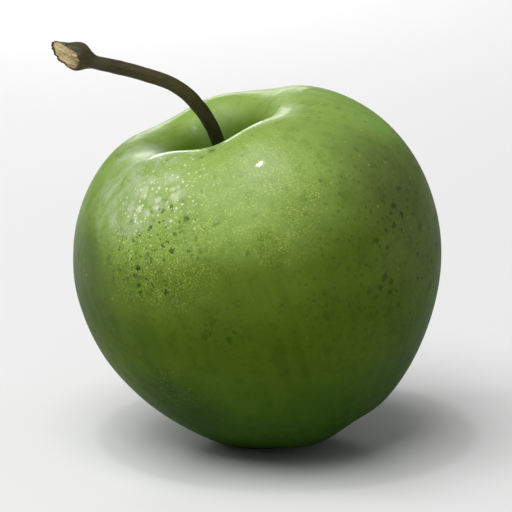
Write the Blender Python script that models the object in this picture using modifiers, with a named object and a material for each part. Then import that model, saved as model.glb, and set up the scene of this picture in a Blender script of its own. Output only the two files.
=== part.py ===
"""A green apple as picked: the fruit, its long stem, and the five dried sepals in its basin.

The fruit leans towards -X and rests on a small flat spot on its lowest lobe. The origin is the
middle of that spot and +Z is up. Everything is in metres.

The fruit has a frame of its own too. Its Z runs along the core from the base to the stem, with
z = 0 at the tips of the base's lobes. The stem and the sepals are laid out in that frame.
"""

import math

import bmesh
import bpy
from mathutils import Matrix, Vector
from mathutils.geometry import interpolate_bezier

MM = 0.001

# Gap between solids that touch on a real apple
CLEARANCE = 0.3 * MM

# Fruit: overall sizes of the outline that is turned about the core
FRUIT_WIDTH = 75.3 * MM
SHOULDER_HEIGHT = 69.2 * MM
WIDEST_HEIGHT = 40.4 * MM
SHOULDER_RADIUS = 16.5 * MM
CAVITY_DEPTH = 17.2 * MM
CAVITY_SLOPE = math.radians(62)
BASE_RING_RADIUS = 9.5 * MM
BASIN_DEPTH = 8.0 * MM

# How far the outline keeps its direction on leaving each of those points: larger is fuller
CAVITY_FLARE = 5.0 * MM
SHOULDER_INNER_ROUND = 7.0 * MM
SHOULDER_OUTER_ROUND = 7.0 * MM
UPPER_SIDE_ROUND = 18.5 * MM
LOWER_SIDE_ROUND = 22.0 * MM
BASE_OUTER_ROUND = 8.4 * MM
BASE_INNER_ROUND = 4.5 * MM
BASIN_ROUND = 4.0 * MM

# Five lobes round the base, five soft ribs round the shoulder, and a base that isn't level
LOBES = 5
LOBE_TURN = math.radians(199)
LOBE_DROP = 0.7 * MM
LOBE_SWELL = 0.012
RIB_TURN = math.radians(234)
RIB_DROP = 1.0 * MM
BASE_SKEW = 0.45 * MM

# Rest: how the core is tilted, and how deep the lowest lobe is flattened
LEAN = math.radians(18.2)
NOD = math.radians(4.8)
FLAT_SPOT_DEPTH = 1.2 * MM

# Stem: its root stands in a socket on the core, and its far end is a knob broken on a slant
STEM_ROOT_RADIUS = 1.3 * MM
STEM_NECK_RADIUS = 1.4 * MM
STEM_KNOB_RADIUS = 2.7 * MM
STEM_TIP_RADIUS = 2.1 * MM
SOCKET_DEPTH = 4.0 * MM
BREAK_SLANT = math.radians(52)
BREAK_ROLL = math.radians(18)

# Eye: the hole in the middle of the basin
EYE_RADIUS = 2.3 * MM
EYE_DEPTH = 3.5 * MM

# Sepals: they stand round the eye, lean in over it and curl back out at their tips
SEPALS = 5
SEPAL_THICKNESS = 0.45 * MM
SEPAL_FOOT_OFFSET = 0.9 * MM
SEPAL_THROAT_RADIUS = 1.65 * MM
SEPAL_HEIGHT = 4.9 * MM
SEPAL_CURL = 2.4 * MM
SEPAL_TIP_SHARE = 0.15
SEPAL_TAPER_POWER = 1.5

# Fineness of the meshes
FRUIT_SEGMENTS = 60
CAVITY_STEPS = 10
SIDE_STEPS = 14
BASIN_STEPS = 8
STEM_STEPS = 5
STEM_ROUNDNESS = 5
SEPAL_STEPS = 8
SEPAL_CROSS_STEPS = 4


def clear_scene():
    for obj in list(bpy.data.objects):
        bpy.data.objects.remove(obj)


def material(name, colour, roughness):
    """A Principled material of one colour, with no metal in it."""
    made = bpy.data.materials.new(name)
    made.use_nodes = True
    shader = made.node_tree.nodes["Principled BSDF"]
    shader.inputs["Base Color"].default_value = (*colour, 1.0)
    shader.inputs["Roughness"].default_value = roughness
    shader.inputs["Metallic"].default_value = 0.0
    return made


def skin_material():
    return material("green_skin", (0.195, 0.305, 0.07), 0.35)


def bark_material():
    return material("stem_bark", (0.04, 0.035, 0.014), 0.75)


def sepal_material():
    return material("dry_sepal", (0.09, 0.06, 0.025), 0.85)


def add_object(name, data, look, frame=None):
    """Links an object to the apple; a frame given places it, as its parent."""
    obj = bpy.data.objects.new(name, data)
    obj.parent = frame
    if look:
        data.materials.append(look)
    bpy.data.collections["apple"].objects.link(obj)
    return obj


def eased(share):
    """Goes from 0 to 1 with a soft start and a soft end."""
    share = min(max(share, 0.0), 1.0)
    return share * share * (3 - 2 * share)


def curve_points(start, start_handle, end_handle, end, steps):
    """(radius, height) at each step along one curve, its ends included."""
    corners = [Vector((*point, 0.0)) for point in (start, start_handle, end_handle, end)]
    return [(point.x, point.y) for point in interpolate_bezier(*corners, steps + 1)]


def cavity_outline():
    """The socket's floor, its mouth, and the cavity's wall up to just before the shoulder."""
    socket_radius = STEM_ROOT_RADIUS + CLEARANCE
    cavity_floor = SHOULDER_HEIGHT - CAVITY_DEPTH
    socket_floor = cavity_floor - SOCKET_DEPTH
    flare_end = (
        socket_radius + CAVITY_FLARE * math.cos(CAVITY_SLOPE),
        cavity_floor + CAVITY_FLARE * math.sin(CAVITY_SLOPE),
    )
    wall = curve_points(
        (socket_radius, cavity_floor),
        flare_end,
        (SHOULDER_RADIUS - SHOULDER_INNER_ROUND, SHOULDER_HEIGHT),
        (SHOULDER_RADIUS, SHOULDER_HEIGHT),
        CAVITY_STEPS,
    )
    return [(0.0, socket_floor), (socket_radius, socket_floor)] + wall[:-1]


def upper_side_outline():
    """From the shoulder down to just before the widest ring."""
    side = curve_points(
        (SHOULDER_RADIUS, SHOULDER_HEIGHT),
        (SHOULDER_RADIUS + SHOULDER_OUTER_ROUND, SHOULDER_HEIGHT),
        (FRUIT_WIDTH / 2, WIDEST_HEIGHT + UPPER_SIDE_ROUND),
        (FRUIT_WIDTH / 2, WIDEST_HEIGHT),
        SIDE_STEPS,
    )
    return side[:-1]


def lower_side_outline():
    """From the widest ring down to just before the tips of the lobes."""
    side = curve_points(
        (FRUIT_WIDTH / 2, WIDEST_HEIGHT),
        (FRUIT_WIDTH / 2, WIDEST_HEIGHT - LOWER_SIDE_ROUND),
        (BASE_RING_RADIUS + BASE_OUTER_ROUND, 0.0),
        (BASE_RING_RADIUS, 0.0),
        SIDE_STEPS,
    )
    return side[:-1]


def basin_outline():
    """From the tips of the lobes over the basin and down the eye's wall to its floor."""
    wall = curve_points(
        (BASE_RING_RADIUS, 0.0),
        (BASE_RING_RADIUS - BASE_INNER_ROUND, 0.0),
        (EYE_RADIUS + BASIN_ROUND, BASIN_DEPTH),
        (EYE_RADIUS, BASIN_DEPTH),
        BASIN_STEPS,
    )
    eye_floor = BASIN_DEPTH + EYE_DEPTH
    return wall + [(EYE_RADIUS, eye_floor), (0.0, eye_floor)]


def fruit_outline():
    """(radius, height, rib share, lobe share) of each ring, from the socket to the eye.

    The shares say how strongly the shoulder's ribs and the base's lobes shape a ring."""
    side_height = SHOULDER_HEIGHT - WIDEST_HEIGHT
    rings = [(r, z, eased(r / SHOULDER_RADIUS), 0.0) for r, z in cavity_outline()]
    rings += [(r, z, eased((z - WIDEST_HEIGHT) / side_height), 0.0) for r, z in upper_side_outline()]
    rings += [(r, z, 0.0, eased(1 - z / WIDEST_HEIGHT)) for r, z in lower_side_outline()]
    rings += [(r, z, 0.0, eased(r / BASE_RING_RADIUS)) for r, z in basin_outline()]
    return rings


def fruit_point(ring, turn):
    """The surface point of one ring at an angle about the core."""
    radius, height, rib_share, lobe_share = ring
    lobe = math.cos(LOBES * (turn - LOBE_TURN))
    rib = math.cos(LOBES * (turn - RIB_TURN))
    skew = BASE_SKEW * math.cos(turn) * min(radius / BASE_RING_RADIUS, 1.0)
    height += (LOBE_DROP * (1 - lobe) / 2 + skew) * lobe_share
    height -= RIB_DROP * (1 - rib) / 2 * rib_share
    radius *= 1 + LOBE_SWELL * lobe * math.sqrt(lobe_share)
    return Vector((radius * math.cos(turn), radius * math.sin(turn), height))


def fruit_surface():
    """The fruit in its own frame: a UV sphere with its rings moved onto the outline."""
    rings = fruit_outline()
    last = len(rings) - 1
    surface = bmesh.new()
    bmesh.ops.create_uvsphere(surface, u_segments=FRUIT_SEGMENTS, v_segments=last, radius=1.0)
    for vert in surface.verts:
        polar = math.acos(min(max(vert.co.z, -1.0), 1.0))
        ring = rings[round(polar / math.pi * last)]
        vert.co = fruit_point(ring, math.atan2(vert.co.y, vert.co.x))
    return surface


def set_down(surface):
    """Tilts the fruit, flattens its lowest lobe at z = 0 and brings that spot to the origin.

    Returns the matrix from the fruit's own frame to the world."""
    tilt = Matrix.Rotation(NOD, 4, "X") @ Matrix.Rotation(-LEAN, 4, "Y")
    surface.transform(tilt)
    floor = min(vert.co.z for vert in surface.verts) + FLAT_SPOT_DEPTH
    geometry = surface.verts[:] + surface.edges[:] + surface.faces[:]
    bmesh.ops.bisect_plane(
        surface, geom=geometry, plane_co=(0, 0, floor), plane_no=(0, 0, -1), clear_outer=True
    )
    rim = [edge for edge in surface.edges if edge.is_boundary]
    spot = bmesh.ops.contextual_create(surface, geom=rim)["faces"][0]
    middle = spot.calc_center_median_weighted()
    shift = Matrix.Translation(-middle)
    surface.transform(shift)
    return shift @ tilt


def build_fruit():
    """Adds the fruit, and returns an empty that stands in its own frame."""
    surface = fruit_surface()
    placement = set_down(surface)
    mesh = bpy.data.meshes.new("fruit")
    surface.to_mesh(mesh)
    surface.free()
    mesh.shade_smooth()
    add_object("fruit", mesh, skin_material())
    core = add_object("core", None, None)
    core.matrix_world = placement
    return core


def stem_route():
    """(across the fruit, along the core, radius) of the stem's centre line."""
    root = SHOULDER_HEIGHT - CAVITY_DEPTH - SOCKET_DEPTH + CLEARANCE
    rim = SHOULDER_HEIGHT
    return [
        (0.0, root, STEM_ROOT_RADIUS),
        (0.0, root + SOCKET_DEPTH, STEM_ROOT_RADIUS),
        (-0.1 * MM, rim - 9.0 * MM, STEM_ROOT_RADIUS),
        (-0.1 * MM, rim - 5.0 * MM, STEM_ROOT_RADIUS),
        (-0.5 * MM, rim, STEM_NECK_RADIUS),
        (-1.6 * MM, rim + 4.0 * MM, STEM_NECK_RADIUS),
        (-3.5 * MM, rim + 7.6 * MM, STEM_NECK_RADIUS),
        (-6.4 * MM, rim + 10.8 * MM, STEM_NECK_RADIUS),
        (-10.4 * MM, rim + 13.8 * MM, STEM_NECK_RADIUS),
        (-14.8 * MM, rim + 16.6 * MM, STEM_NECK_RADIUS),
        (-18.0 * MM, rim + 18.6 * MM, STEM_NECK_RADIUS),
        (-21.0 * MM, rim + 20.8 * MM, STEM_KNOB_RADIUS),
        (-23.6 * MM, rim + 22.3 * MM, STEM_TIP_RADIUS),
        (-27.8 * MM, rim + 24.7 * MM, STEM_TIP_RADIUS),
    ]


def stem_tube():
    """The whole stem as a closed tube, before its end is broken off."""
    curve = bpy.data.curves.new("stem_line", "CURVE")
    curve.dimensions = "3D"
    curve.bevel_depth = 1.0
    curve.bevel_resolution = STEM_ROUNDNESS
    curve.resolution_u = STEM_STEPS
    curve.use_fill_caps = True
    spline = curve.splines.new("BEZIER")
    spline.radius_interpolation = "EASE"
    route = stem_route()
    spline.bezier_points.add(len(route) - 1)
    for point, (across, along, radius) in zip(spline.bezier_points, route):
        point.co = (across, 0.0, along)
        point.radius = radius
        point.handle_left_type = "AUTO"
        point.handle_right_type = "AUTO"
    tube = add_object("stem_line", curve, None)
    bpy.context.view_layer.update()
    evaluated = tube.evaluated_get(bpy.context.evaluated_depsgraph_get())
    mesh = bpy.data.meshes.new_from_object(evaluated)
    bpy.data.objects.remove(tube)
    return mesh


def break_end(surface):
    """Cuts the tube at the route's last point but one, on a slant facing forward and down."""
    before, last = [Vector((across, 0.0, along)) for across, along, _ in stem_route()[-2:]]
    outward = (last - before).normalized()
    forward = Vector((0.0, -1.0, 0.0))
    down = forward.cross(outward)
    sideways = forward * math.cos(BREAK_ROLL) + down * math.sin(BREAK_ROLL)
    normal = outward * math.cos(BREAK_SLANT) + sideways * math.sin(BREAK_SLANT)
    geometry = surface.verts[:] + surface.edges[:] + surface.faces[:]
    bmesh.ops.bisect_plane(
        surface, geom=geometry, plane_co=before, plane_no=normal, clear_outer=True
    )
    rim = [edge for edge in surface.edges if edge.is_boundary]
    bmesh.ops.contextual_create(surface, geom=rim)


def build_stem(core):
    mesh = stem_tube()
    surface = bmesh.new()
    surface.from_mesh(mesh)
    bmesh.ops.remove_doubles(surface, verts=surface.verts[:], dist=0.001 * MM)
    break_end(surface)
    surface.to_mesh(mesh)
    surface.free()
    mesh.shade_smooth()
    add_object("stem", mesh, bark_material(), core)


def sepal_line():
    """(radius, height) along the middle of a sepal, from its foot to its tip."""
    foot = BASIN_DEPTH - 2 * CLEARANCE
    return curve_points(
        (EYE_RADIUS + SEPAL_FOOT_OFFSET, foot),
        (SEPAL_THROAT_RADIUS, foot - SEPAL_HEIGHT / 2),
        (SEPAL_THROAT_RADIUS, foot - SEPAL_HEIGHT),
        (EYE_RADIUS + SEPAL_CURL, foot - SEPAL_HEIGHT),
        SEPAL_STEPS,
    )


def sepal_sheet():
    """One sepal as a sheet on the +X side of the core, tapering to its tip."""
    line = sepal_line()
    foot_radius = EYE_RADIUS + SEPAL_FOOT_OFFSET
    foot_half_angle = math.pi / SEPALS - CLEARANCE / foot_radius
    sheet = bmesh.new()
    bmesh.ops.create_grid(
        sheet, x_segments=SEPAL_STEPS, y_segments=SEPAL_CROSS_STEPS, size=1.0
    )
    for vert in sheet.verts:
        step = round((vert.co.x + 1) / 2 * SEPAL_STEPS)
        radius, height = line[step]
        taper = 1 - (1 - SEPAL_TIP_SHARE) * (step / SEPAL_STEPS) ** SEPAL_TAPER_POWER
        turn = vert.co.y * foot_half_angle * taper
        vert.co = (radius * math.cos(turn), radius * math.sin(turn), height)
    return sheet


def build_sepals(core):
    look = sepal_material()
    for index in range(SEPALS):
        sheet = sepal_sheet()
        turn = LOBE_TURN + math.tau * index / SEPALS
        sheet.transform(Matrix.Rotation(turn, 4, "Z"))
        mesh = bpy.data.meshes.new("sepal")
        sheet.to_mesh(mesh)
        sheet.free()
        mesh.shade_smooth()
        sepal = add_object(f"sepal_{index + 1}", mesh, look, core)
        solid = sepal.modifiers.new("thickness", "SOLIDIFY")
        solid.thickness = SEPAL_THICKNESS
        solid.offset = 0.0


clear_scene()
bpy.context.scene.collection.children.link(bpy.data.collections.new("apple"))
fruit_frame = build_fruit()
build_stem(fruit_frame)
build_sepals(fruit_frame)
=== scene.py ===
"""The green apple on a pale floor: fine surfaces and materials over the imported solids."""

import math

import bpy
import numpy as np
from mathutils import Matrix, Vector, noise
from mathutils.geometry import interpolate_bezier


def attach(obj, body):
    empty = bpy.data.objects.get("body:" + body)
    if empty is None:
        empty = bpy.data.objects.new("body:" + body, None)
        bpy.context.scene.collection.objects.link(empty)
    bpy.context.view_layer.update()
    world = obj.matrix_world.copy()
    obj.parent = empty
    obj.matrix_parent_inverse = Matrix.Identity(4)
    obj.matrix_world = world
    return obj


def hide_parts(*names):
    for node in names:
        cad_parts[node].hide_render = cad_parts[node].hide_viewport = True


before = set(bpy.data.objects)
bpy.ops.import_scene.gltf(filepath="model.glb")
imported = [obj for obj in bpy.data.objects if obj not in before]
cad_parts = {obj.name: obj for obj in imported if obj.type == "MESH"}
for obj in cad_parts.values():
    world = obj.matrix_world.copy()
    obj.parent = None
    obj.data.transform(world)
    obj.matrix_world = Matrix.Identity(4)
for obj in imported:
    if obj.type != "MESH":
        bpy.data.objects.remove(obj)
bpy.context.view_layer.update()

MM = 0.001

# The fruit's own sizes, as its solid was made from
CLEARANCE = 0.3 * MM
FRUIT_WIDTH = 75.3 * MM
SHOULDER_HEIGHT = 69.2 * MM
WIDEST_HEIGHT = 40.4 * MM
SHOULDER_RADIUS = 16.5 * MM
CAVITY_DEPTH = 17.2 * MM
CAVITY_SLOPE = math.radians(62)
BASE_RING_RADIUS = 9.5 * MM
BASIN_DEPTH = 8.0 * MM
CAVITY_FLARE = 5.0 * MM
SHOULDER_INNER_ROUND = 7.0 * MM
SHOULDER_OUTER_ROUND = 7.0 * MM
UPPER_SIDE_ROUND = 18.5 * MM
LOWER_SIDE_ROUND = 22.0 * MM
BASE_OUTER_ROUND = 8.4 * MM
BASE_INNER_ROUND = 4.5 * MM
BASIN_ROUND = 4.0 * MM
LOBES = 5
LOBE_TURN = math.radians(199)
LOBE_DROP = 0.7 * MM
LOBE_SWELL = 0.012
RIB_TURN = math.radians(234)
RIB_DROP = 1.0 * MM
BASE_SKEW = 0.45 * MM
LEAN = math.radians(18.2)
NOD = math.radians(4.8)
STEM_ROOT_RADIUS = 1.3 * MM
STEM_NECK_RADIUS = 1.4 * MM
STEM_KNOB_RADIUS = 2.7 * MM
STEM_TIP_RADIUS = 2.1 * MM
SOCKET_DEPTH = 4.0 * MM
BREAK_SLANT = math.radians(52)
BREAK_ROLL = math.radians(18)
EYE_RADIUS = 2.3 * MM
EYE_DEPTH = 3.5 * MM
SEPALS = 5
SEPAL_FOOT_OFFSET = 0.9 * MM
SEPAL_THROAT_RADIUS = 1.65 * MM
SEPAL_HEIGHT = 4.9 * MM
SEPAL_CURL = 2.4 * MM


# ---------------------------------------------------------------- shapes


def eased(share):
    """Goes from 0 to 1 with a soft start and a soft end."""
    share = np.clip(share, 0.0, 1.0)
    return share * share * (3 - 2 * share)


def curve_points(start, start_handle, end_handle, end, steps):
    """(radius, height) at each step along one curve, its ends included."""
    corners = [Vector((*point, 0.0)) for point in (start, start_handle, end_handle, end)]
    return [(point.x, point.y) for point in interpolate_bezier(*corners, steps + 1)]


def fruit_frame():
    """The matrix from the fruit's own frame to the world, read off the stem's solid."""
    tilt = Matrix.Rotation(NOD, 4, "X") @ Matrix.Rotation(-LEAN, 4, "Y")
    core = tilt.to_3x3() @ Vector((0, 0, 1))
    corners = [vert.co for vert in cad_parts["stem"].data.vertices]
    lowest = min(co @ core for co in corners)
    cap = [co for co in corners if co @ core < lowest + 0.01 * MM]
    root_height = SHOULDER_HEIGHT - CAVITY_DEPTH - SOCKET_DEPTH + CLEARANCE
    middle = sum(cap, Vector()) / len(cap)
    return Matrix.Translation(middle - core * root_height) @ tilt


FRUIT_FRAME = fruit_frame()


def to_world(points):
    """Points of the fruit's own frame, as an (n, 3) array, taken to the world."""
    matrix = np.array(FRUIT_FRAME)
    return points @ matrix[:3, :3].T + matrix[:3, 3]


CAVITY_STEPS = 10
SIDE_STEPS = 14
BASIN_STEPS = 8
WELL_STEPS = 4


def fruit_outline(fineness):
    """(radius, height, rib share, lobe share) of each ring, from the socket to the eye."""
    socket_radius = STEM_ROOT_RADIUS + CLEARANCE
    cavity_floor = SHOULDER_HEIGHT - CAVITY_DEPTH
    flare_end = (
        socket_radius + CAVITY_FLARE * math.cos(CAVITY_SLOPE),
        cavity_floor + CAVITY_FLARE * math.sin(CAVITY_SLOPE),
    )
    shoulder = (SHOULDER_RADIUS, SHOULDER_HEIGHT)
    widest = (FRUIT_WIDTH / 2, WIDEST_HEIGHT)
    cavity = curve_points(
        (socket_radius, cavity_floor),
        flare_end,
        (SHOULDER_RADIUS - SHOULDER_INNER_ROUND, SHOULDER_HEIGHT),
        shoulder,
        CAVITY_STEPS * fineness,
    )
    upper = curve_points(
        shoulder,
        (SHOULDER_RADIUS + SHOULDER_OUTER_ROUND, SHOULDER_HEIGHT),
        (FRUIT_WIDTH / 2, WIDEST_HEIGHT + UPPER_SIDE_ROUND),
        widest,
        SIDE_STEPS * fineness,
    )
    lower = curve_points(
        widest,
        (FRUIT_WIDTH / 2, WIDEST_HEIGHT - LOWER_SIDE_ROUND),
        (BASE_RING_RADIUS + BASE_OUTER_ROUND, 0.0),
        (BASE_RING_RADIUS, 0.0),
        SIDE_STEPS * fineness,
    )
    basin = curve_points(
        (BASE_RING_RADIUS, 0.0),
        (BASE_RING_RADIUS - BASE_INNER_ROUND, 0.0),
        (EYE_RADIUS + BASIN_ROUND, BASIN_DEPTH),
        (EYE_RADIUS, BASIN_DEPTH),
        BASIN_STEPS * fineness,
    )
    side = SHOULDER_HEIGHT - WIDEST_HEIGHT
    down = [step / WELL_STEPS for step in range(1, WELL_STEPS + 1)]
    socket = [(socket_radius, cavity_floor - SOCKET_DEPTH * share) for share in reversed(down)]
    eye = [(EYE_RADIUS, BASIN_DEPTH + EYE_DEPTH * share) for share in down]
    rings = [(r, z, eased(r / SHOULDER_RADIUS), 0.0) for r, z in socket + cavity[:-1]]
    rings += [(r, z, eased((z - WIDEST_HEIGHT) / side), 0.0) for r, z in upper[:-1]]
    rings += [(r, z, 0.0, eased(1 - z / WIDEST_HEIGHT)) for r, z in lower[:-1]]
    rings += [(r, z, 0.0, eased(r / BASE_RING_RADIUS)) for r, z in basin + eye]
    return np.array(rings)


def turned_mesh(name, rings):
    """A closed mesh through (rings, segments, 3) points, with a point closing each end."""
    count, segments, _ = rings.shape
    points = np.concatenate([rings.reshape(-1, 3), rings[0].mean(0)[None], rings[-1].mean(0)[None]])
    faces = []
    for ring in range(count - 1):
        for seg in range(segments):
            after = (seg + 1) % segments
            low, high = ring * segments, (ring + 1) * segments
            faces.append((low + seg, high + seg, high + after, low + after))
    first, last = count * segments, count * segments + 1
    end = (count - 1) * segments
    for seg in range(segments):
        after = (seg + 1) % segments
        faces.append((first, seg, after))
        faces.append((last, end + after, end + seg))
    mesh = bpy.data.meshes.new(name)
    mesh.from_pydata(points.tolist(), [], faces)
    mesh.shade_smooth()
    return mesh


def coords(mesh):
    """The mesh's points, as an (n, 3) array."""
    flat = np.empty(len(mesh.vertices) * 3, np.float32)
    mesh.vertices.foreach_get("co", flat)
    return flat.reshape(-1, 3).astype(float)


def normals(mesh):
    """The outward direction at each of the mesh's points."""
    flat = np.empty(len(mesh.vertices) * 3, np.float32)
    mesh.vertex_normals.foreach_get("vector", flat)
    return flat.reshape(-1, 3).astype(float)


def set_coords(mesh, points):
    mesh.vertices.foreach_set("co", points.astype(np.float32).ravel())
    mesh.update()


def lumps(points, wavelength, seed):
    """Smooth noise from about -1 to 1 at each point, with that wavelength in metres."""
    shift = Vector((seed * 17.3, seed * 5.1, seed * 9.7))
    return np.array([noise.noise(Vector(p) / wavelength + shift) for p in points.tolist()])


def add_piece(name, mesh, material, node):
    """Adds a piece of the apple that stands for a CAD node, or for none, on the one body."""
    obj = bpy.data.objects.new(name, mesh)
    bpy.context.scene.collection.objects.link(obj)
    if material:
        mesh.materials.append(material)
    if node:
        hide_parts(node)
    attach(obj, "root")
    return obj


FRUIT_SEGMENTS = 300
FRUIT_FINENESS = 5
FLAT_SOFTNESS = 0.35 * MM
# How far the skin swells: broadly, in smaller lumps, in the cavity's folds and in the basin's ribs
BROAD_SWELL = 0.30 * MM
SMALL_SWELL = 0.10 * MM
FOLD_HEIGHT = 0.22 * MM
FOLDS = 9
BASIN_RIB_DEPTH = 0.28 * MM


def fruit_mesh():
    """The skin: the outline turned about the core, with its ribs, lobes, lumps and folds."""
    rings = fruit_outline(FRUIT_FINENESS)
    radius, height, rib_share, lobe_share = (rings[:, k][:, None] for k in range(4))
    turn = np.linspace(0, math.tau, FRUIT_SEGMENTS, endpoint=False)[None, :]
    lobe = np.cos(LOBES * (turn - LOBE_TURN))
    rib = np.cos(LOBES * (turn - RIB_TURN))
    skew = BASE_SKEW * np.cos(turn) * np.minimum(radius / BASE_RING_RADIUS, 1.0)
    height = height + (LOBE_DROP * (1 - lobe) / 2 + skew) * lobe_share
    height = height - RIB_DROP * (1 - rib) / 2 * rib_share
    radius = radius * (1 + LOBE_SWELL * lobe * np.sqrt(lobe_share))
    points = np.stack([radius * np.cos(turn), radius * np.sin(turn), height + 0 * turn], -1)
    world = to_world(points.reshape(-1, 3)).reshape(points.shape)
    mesh = turned_mesh("apple_fruit", world)
    own = np.concatenate([points.reshape(-1, 3), points[0].mean(0)[None], points[-1].mean(0)[None]])
    at = coords(mesh)
    out = normals(mesh)
    from_core = np.hypot(own[:, 0], own[:, 1])
    around = np.arctan2(own[:, 1], own[:, 0])
    open_skin = eased((from_core - 4 * MM) / (8 * MM))
    swell = BROAD_SWELL * lumps(at, 24 * MM, 1) + SMALL_SWELL * lumps(at, 9 * MM, 2)
    in_cavity = eased((own[:, 2] - 50 * MM) / (3 * MM)) * eased((13 * MM - from_core) / (9 * MM))
    in_basin = eased((11 * MM - own[:, 2]) / (3 * MM)) * eased((9 * MM - from_core) / (5 * MM))
    in_basin *= eased((from_core - EYE_RADIUS) / (1.5 * MM))
    folds = np.cos(FOLDS * around + 3 * lumps(at, 14 * MM, 3)) * lumps(at, 5 * MM, 4)
    swell = swell * open_skin + FOLD_HEIGHT * folds * in_cavity * eased(from_core / (4 * MM))
    swell -= BASIN_RIB_DEPTH * np.abs(np.cos(LOBES * (around - LOBE_TURN))) * in_basin
    at += out * swell[:, None]
    at[:, 2] = np.where(at[:, 2] > 4 * FLAT_SOFTNESS, at[:, 2], soft_floor(at[:, 2]))
    set_coords(mesh, at)
    return mesh


def soft_floor(height):
    """Heights kept above the floor, with a rounded edge where the skin leaves it."""
    return FLAT_SOFTNESS * np.logaddexp(0.0, height / FLAT_SOFTNESS)


def stem_route():
    """(across the fruit, along the core, radius) of the stem's centre line."""
    root = SHOULDER_HEIGHT - CAVITY_DEPTH - SOCKET_DEPTH + CLEARANCE
    rim = SHOULDER_HEIGHT
    return [
        (0.0, root, STEM_ROOT_RADIUS),
        (0.0, root + SOCKET_DEPTH, STEM_ROOT_RADIUS),
        (-0.1 * MM, rim - 9.0 * MM, STEM_ROOT_RADIUS),
        (-0.1 * MM, rim - 5.0 * MM, STEM_ROOT_RADIUS),
        (-0.5 * MM, rim, STEM_NECK_RADIUS),
        (-1.6 * MM, rim + 4.0 * MM, STEM_NECK_RADIUS),
        (-3.5 * MM, rim + 7.6 * MM, STEM_NECK_RADIUS),
        (-6.4 * MM, rim + 10.8 * MM, STEM_NECK_RADIUS),
        (-10.4 * MM, rim + 13.8 * MM, STEM_NECK_RADIUS),
        (-14.8 * MM, rim + 16.6 * MM, STEM_NECK_RADIUS),
        (-18.0 * MM, rim + 18.6 * MM, STEM_NECK_RADIUS),
        (-21.0 * MM, rim + 20.8 * MM, STEM_KNOB_RADIUS),
        (-23.6 * MM, rim + 22.3 * MM, STEM_TIP_RADIUS),
        (-27.8 * MM, rim + 24.7 * MM, STEM_TIP_RADIUS),
    ]


STEM_CURVE_STEPS = 24


def stem_line():
    """Points of the stem's centre line, and its radius at each of them."""
    route = stem_route()
    curve = bpy.data.curves.new("stem_line", "CURVE")
    curve.dimensions = "3D"
    curve.resolution_u = STEM_CURVE_STEPS
    spline = curve.splines.new("BEZIER")
    spline.bezier_points.add(len(route) - 1)
    for point, (across, along, _) in zip(spline.bezier_points, route):
        point.co = (across, 0.0, along)
        point.handle_left_type = "AUTO"
        point.handle_right_type = "AUTO"
    line = bpy.data.objects.new("stem_line", curve)
    bpy.context.scene.collection.objects.link(line)
    bpy.context.view_layer.update()
    evaluated = line.evaluated_get(bpy.context.evaluated_depsgraph_get())
    mesh = bpy.data.meshes.new_from_object(evaluated)
    points = coords(mesh)
    bpy.data.objects.remove(line)
    bpy.data.meshes.remove(mesh)
    place = np.linspace(0, len(route) - 1, len(points))
    before = np.minimum(place.astype(int), len(route) - 2)
    radii = np.array([radius for _, _, radius in route])
    share = eased(place - before)
    return points, radii[before] * (1 - share) + radii[before + 1] * share


STEM_RINGS = 260
STEM_SIDES = 72
BREAK_RINGS = 14
# The bark's relief as shares of the stem's radius, and the torn face's relief
RIDGE_SHARE = 0.07
FINE_RIDGE_SHARE = 0.045
KNOT_SHARE = 0.05
KNOB_KNOT_SHARE = 0.12
FACE_RISE = 0.35 * MM
FACE_NOTCH = 0.28 * MM
FIBRE_RELIEF = 0.16 * MM
TEAR_RELIEF = 0.20 * MM


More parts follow.
